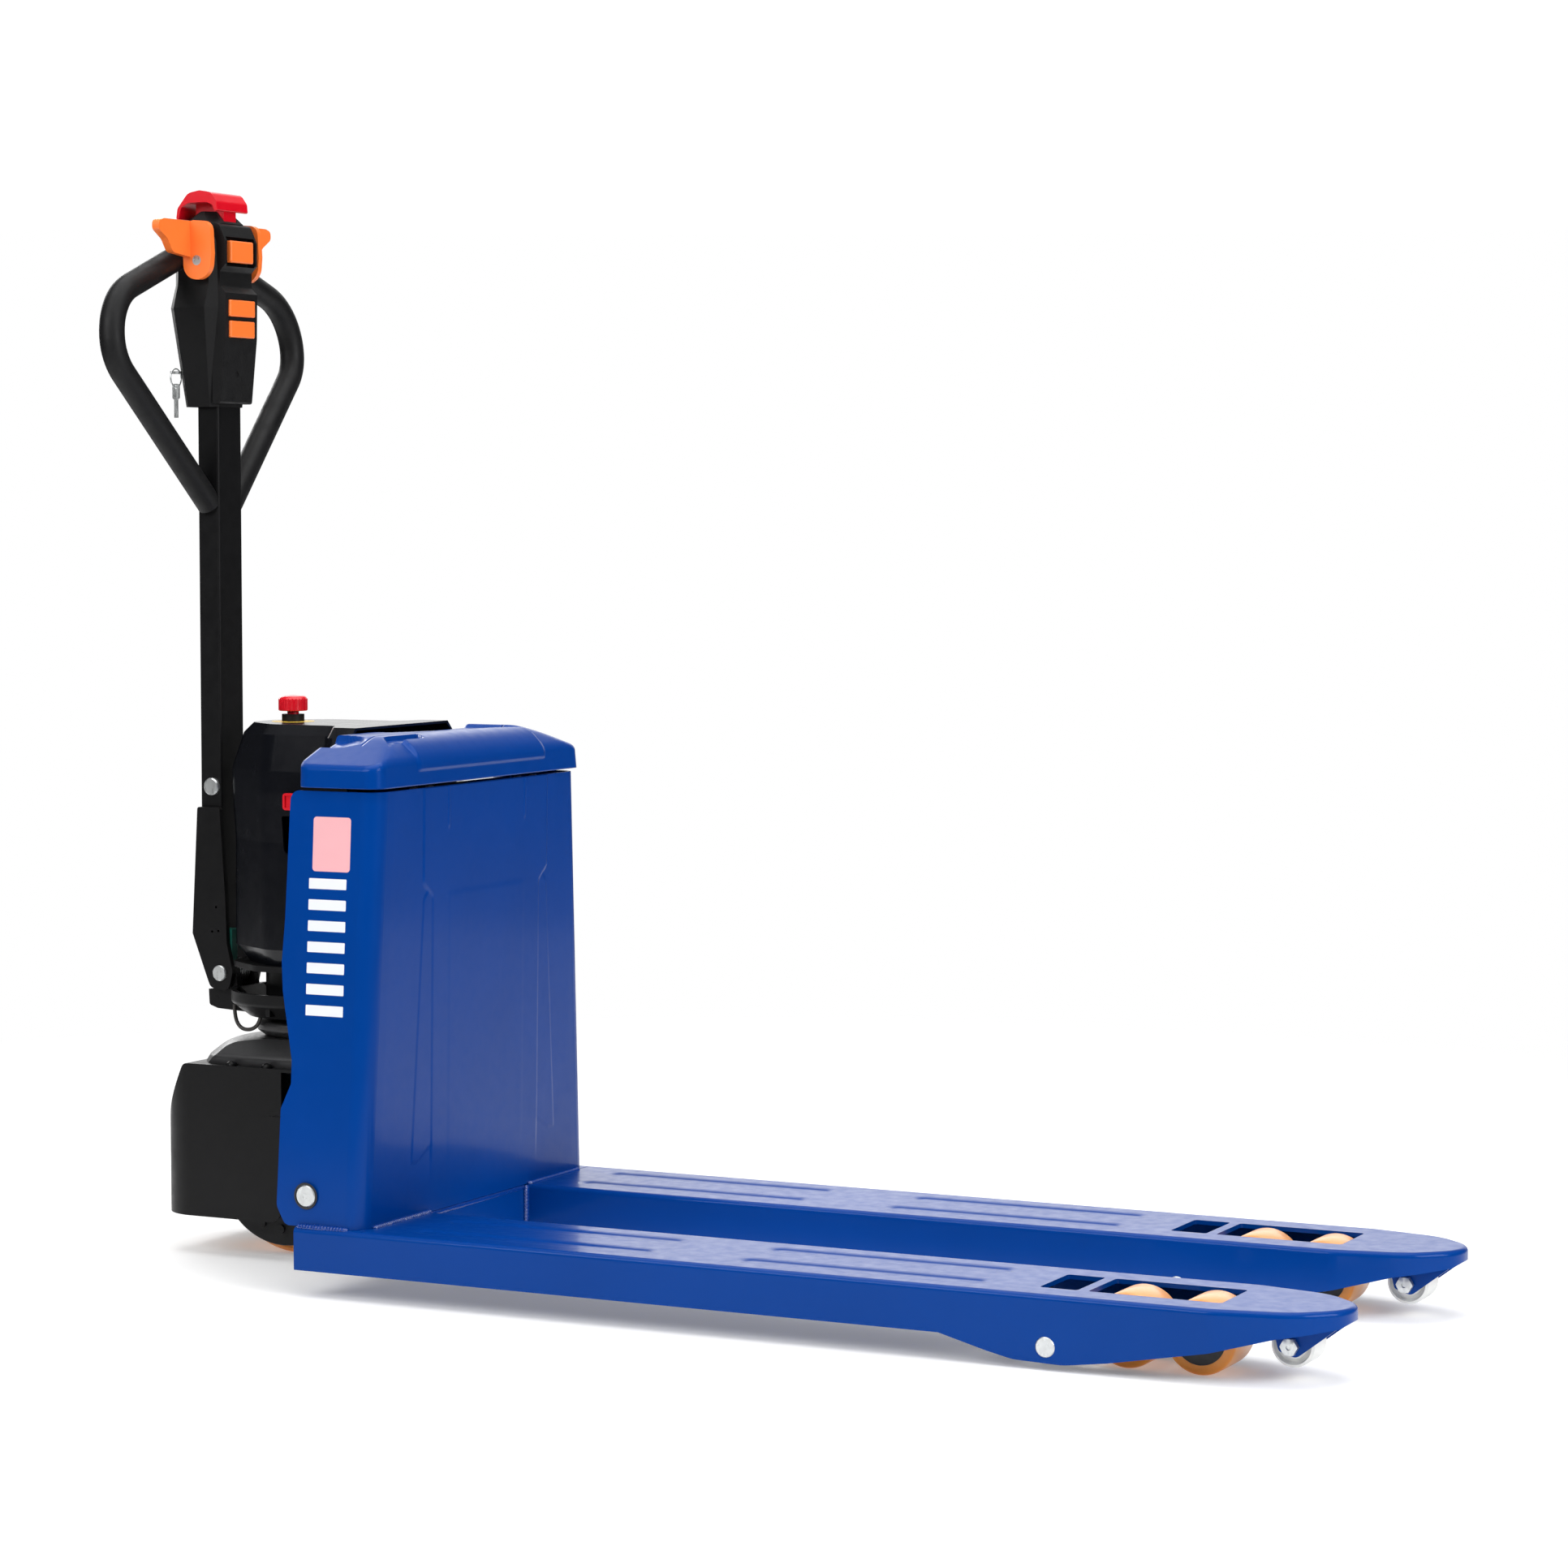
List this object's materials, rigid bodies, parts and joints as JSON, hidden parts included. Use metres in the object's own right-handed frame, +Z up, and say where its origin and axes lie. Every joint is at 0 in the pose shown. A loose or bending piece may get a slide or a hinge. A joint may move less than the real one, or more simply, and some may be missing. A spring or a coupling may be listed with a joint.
{
  "type": "electric pallet truck",
  "caption": "Walk-behind powered pallet truck: two forks on tandem load wheels, lidded battery box, steered drive wheel and upright sprung tiller with a control head.",
  "frame": {"origin": "on the floor, under the middle of the overall length and width, with the forks lowered and the tiller upright", "axes": "+X along the forks towards their tips, +Y to the left of a driver facing the forks, +Z up"},
  "size_m": [1.5622, 0.5416, 1.2768],
  "materials": {
    "blue_paint": "gloss powder coat",
    "black_paint": "satin powder coat",
    "dark_steel": "oiled dark steel",
    "zinc_steel": "zinc plated",
    "cast_housing": "painted casting",
    "grey_dome": "satin",
    "black_cover": "moulded",
    "black_plastic": "textured",
    "red_plastic": "moulded",
    "orange_plastic": "moulded",
    "teal_plastic": "moulded",
    "polyurethane": "cast, peach to amber",
    "nylon": "natural",
    "cable_black": "smooth",
    "red_cable": "smooth",
    "battery_case": "moulded"
  },
  "bodies": {
    "frame": {"fork_left": "blue_paint", "fork_right": "blue_paint", "battery_box": "blue_paint", "cross_plates": "blue_paint", "guide_rods": "zinc_steel", "battery_pack": "battery_case", "rocker_shaft": "zinc_steel", "bracket_pins": "zinc_steel", "cylinder_rod": "zinc_steel", "entry_bolts": "zinc_steel", "lid_hinges": "zinc_steel"},
    "lid": {"battery_lid": "blue_paint"},
    "drive_base": {"drive_base_frame": "black_paint", "power_cover": "black_cover", "pump_unit": "cast_housing", "lift_cylinder": "black_paint", "estop_collar": "black_plastic", "battery_plug": "red_plastic", "battery_leads": "red_cable"},
    "estop": {"estop_button": "red_plastic"},
    "steering": {"steering_casting": "black_paint", "steering_neck": "grey_dome", "drive_dome": "grey_dome", "wheel_guard": "black_paint", "guard_bolts": "black_paint", "drive_unit": "cast_housing", "steering_cable": "cable_black", "tiller_pivot_pin": "zinc_steel", "tiller_return_spring": "zinc_steel", "tiller_switch": "teal_plastic"},
    "drive_wheel": {"drive_tyre": "polyurethane", "drive_hub": "dark_steel"},
    "tiller": {"tiller_tube": "black_paint", "tiller_bracket": "black_paint", "tiller_pin": "zinc_steel", "handle_loops": "black_plastic", "head_shell": "black_plastic", "head_console": "black_plastic"},
    "thumb_levers": {"thumb_shaft": "zinc_steel", "thumb_lever_left": "orange_plastic", "thumb_lever_right": "orange_plastic"},
    "reverse_button": {"reverse_button": "red_plastic"},
    "raise_button": {"raise_button": "orange_plastic"},
    "lower_button": {"lower_button": "orange_plastic"},
    "horn_button": {"horn_button": "orange_plastic"},
    "key": {"ignition_key": "zinc_steel", "key_ring": "zinc_steel"},
    "rocker": {"rocker": "dark_steel"},
    "push_rods": {"push_rod_left": "dark_steel", "push_rod_right": "dark_steel"},
    "bracket_left": {"wheel_bracket_left": "dark_steel"},
    "bogie_left": {"bogie_left": "dark_steel"},
    "load_wheel_rear_left": {"load_wheel_rear_left": "polyurethane"},
    "load_wheel_front_left": {"load_wheel_front_left": "polyurethane"},
    "entry_roller_left": {"entry_roller_left": "nylon"},
    "bracket_right": {"wheel_bracket_right": "dark_steel"},
    "bogie_right": {"bogie_right": "dark_steel"},
    "load_wheel_rear_right": {"load_wheel_rear_right": "polyurethane"},
    "load_wheel_front_right": {"load_wheel_front_right": "polyurethane"},
    "entry_roller_right": {"entry_roller_right": "nylon"}
  },
  "joints": [
    {"name": "lift", "type": "slide", "parent": "frame", "child": "drive_base", "axis": [0, 0, -1], "range_m": [0, 0.115]},
    {"name": "lid_hinge", "type": "hinge", "parent": "frame", "child": "lid", "pos_m": [-0.3719, 0, 0.571], "axis": [0, 1, 0], "range_deg": [0, 45]},
    {"name": "steering", "type": "hinge", "parent": "drive_base", "child": "steering", "pos_m": [-0.6069, 0, 0.3], "axis": [0, 0, 1], "range_deg": [-90, 90]},
    {"name": "tiller_tilt", "type": "hinge", "parent": "steering", "child": "tiller", "pos_m": [-0.7119, 0, 0.334], "axis": [0, -1, 0], "range_deg": [0, 80], "stiffness_Nm_per_rad": 30, "springref_deg": -22.92},
    {"name": "drive_wheel_spin", "type": "hinge", "parent": "steering", "child": "drive_wheel", "pos_m": [-0.6069, 0, 0.105], "axis": [0, 1, 0], "continuous": true},
    {"name": "bracket_swing_left", "type": "hinge", "parent": "frame", "child": "bracket_left", "pos_m": [0.4711, 0.191, 0.025], "axis": [0, 1, 0], "range_deg": [0, 70]},
    {"name": "bogie_level_left", "type": "hinge", "parent": "bracket_left", "child": "bogie_left", "pos_m": [0.5831, 0.191, 0.04], "axis": [0, -1, 0], "range_deg": [0, 70]},
    {"name": "load_wheel_rear_spin_left", "type": "hinge", "parent": "bogie_left", "child": "load_wheel_rear_left", "pos_m": [0.5421, 0.191, 0.04], "axis": [0, 1, 0], "continuous": true},
    {"name": "load_wheel_front_spin_left", "type": "hinge", "parent": "bogie_left", "child": "load_wheel_front_left", "pos_m": [0.6241, 0.191, 0.04], "axis": [0, 1, 0], "continuous": true},
    {"name": "entry_roller_spin_left", "type": "hinge", "parent": "frame", "child": "entry_roller_left", "pos_m": [0.7211, 0.191, 0.039], "axis": [0, 1, 0], "continuous": true},
    {"name": "bracket_swing_right", "type": "hinge", "parent": "frame", "child": "bracket_right", "pos_m": [0.4711, -0.191, 0.025], "axis": [0, 1, 0], "range_deg": [0, 70]},
    {"name": "bogie_level_right", "type": "hinge", "parent": "bracket_right", "child": "bogie_right", "pos_m": [0.5831, -0.191, 0.04], "axis": [0, -1, 0], "range_deg": [0, 70]},
    {"name": "load_wheel_rear_spin_right", "type": "hinge", "parent": "bogie_right", "child": "load_wheel_rear_right", "pos_m": [0.5421, -0.191, 0.04], "axis": [0, 1, 0], "continuous": true},
    {"name": "load_wheel_front_spin_right", "type": "hinge", "parent": "bogie_right", "child": "load_wheel_front_right", "pos_m": [0.6241, -0.191, 0.04], "axis": [0, 1, 0], "continuous": true},
    {"name": "entry_roller_spin_right", "type": "hinge", "parent": "frame", "child": "entry_roller_right", "pos_m": [0.7211, -0.191, 0.039], "axis": [0, 1, 0], "continuous": true},
    {"name": "push_rod_travel", "type": "slide", "parent": "frame", "child": "push_rods", "axis": [1, 0, 0], "range_m": [0, 0.0413]},
    {"name": "rocker_swing", "type": "hinge", "parent": "frame", "child": "rocker", "pos_m": [-0.4429, 0, 0.115], "axis": [0, -1, 0], "range_deg": [0, 100]},
    {"name": "thumb_lever_turn", "type": "hinge", "parent": "tiller", "child": "thumb_levers", "pos_m": [-0.7209, 0, 1.192], "axis": [0, 1, 0], "range_deg": [-12, 12], "stiffness_Nm_per_rad": 0.5},
    {"name": "reverse_press", "type": "slide", "parent": "tiller", "child": "reverse_button", "axis": [0, 0, -1], "range_m": [0, 0.0035], "stiffness_N_per_m": 1500, "springref_m": -0.002},
    {"name": "raise_press", "type": "slide", "parent": "tiller", "child": "raise_button", "axis": [-1, 0, 0], "range_m": [0, 0.0025], "stiffness_N_per_m": 800, "springref_m": -0.001},
    {"name": "lower_press", "type": "slide", "parent": "tiller", "child": "lower_button", "axis": [-1, 0, 0], "range_m": [0, 0.0025], "stiffness_N_per_m": 800, "springref_m": -0.001},
    {"name": "horn_press", "type": "slide", "parent": "tiller", "child": "horn_button", "axis": [-1, 0, 0], "range_m": [0, 0.0025], "stiffness_N_per_m": 800, "springref_m": -0.001},
    {"name": "estop_press", "type": "slide", "parent": "drive_base", "child": "estop", "axis": [0, 0, -1], "range_m": [0, 0.0035]},
    {"name": "key_turn", "type": "hinge", "parent": "tiller", "child": "key", "pos_m": [-0.7659, -0.019, 1.06], "axis": [1, 0, 0], "range_deg": [0, 90]}
  ],
  "couplings": [
    {"joint": "bracket_swing_left", "follows": "lift", "rad_per_m": 10.605},
    {"joint": "bogie_level_left", "follows": "lift", "rad_per_m": 10.605},
    {"joint": "bracket_swing_right", "follows": "lift", "rad_per_m": 10.605},
    {"joint": "bogie_level_right", "follows": "lift", "rad_per_m": 10.605},
    {"joint": "push_rod_travel", "follows": "lift", "ratio": 0.35855},
    {"joint": "rocker_swing", "follows": "lift", "rad_per_m": 15.177}
  ]
}
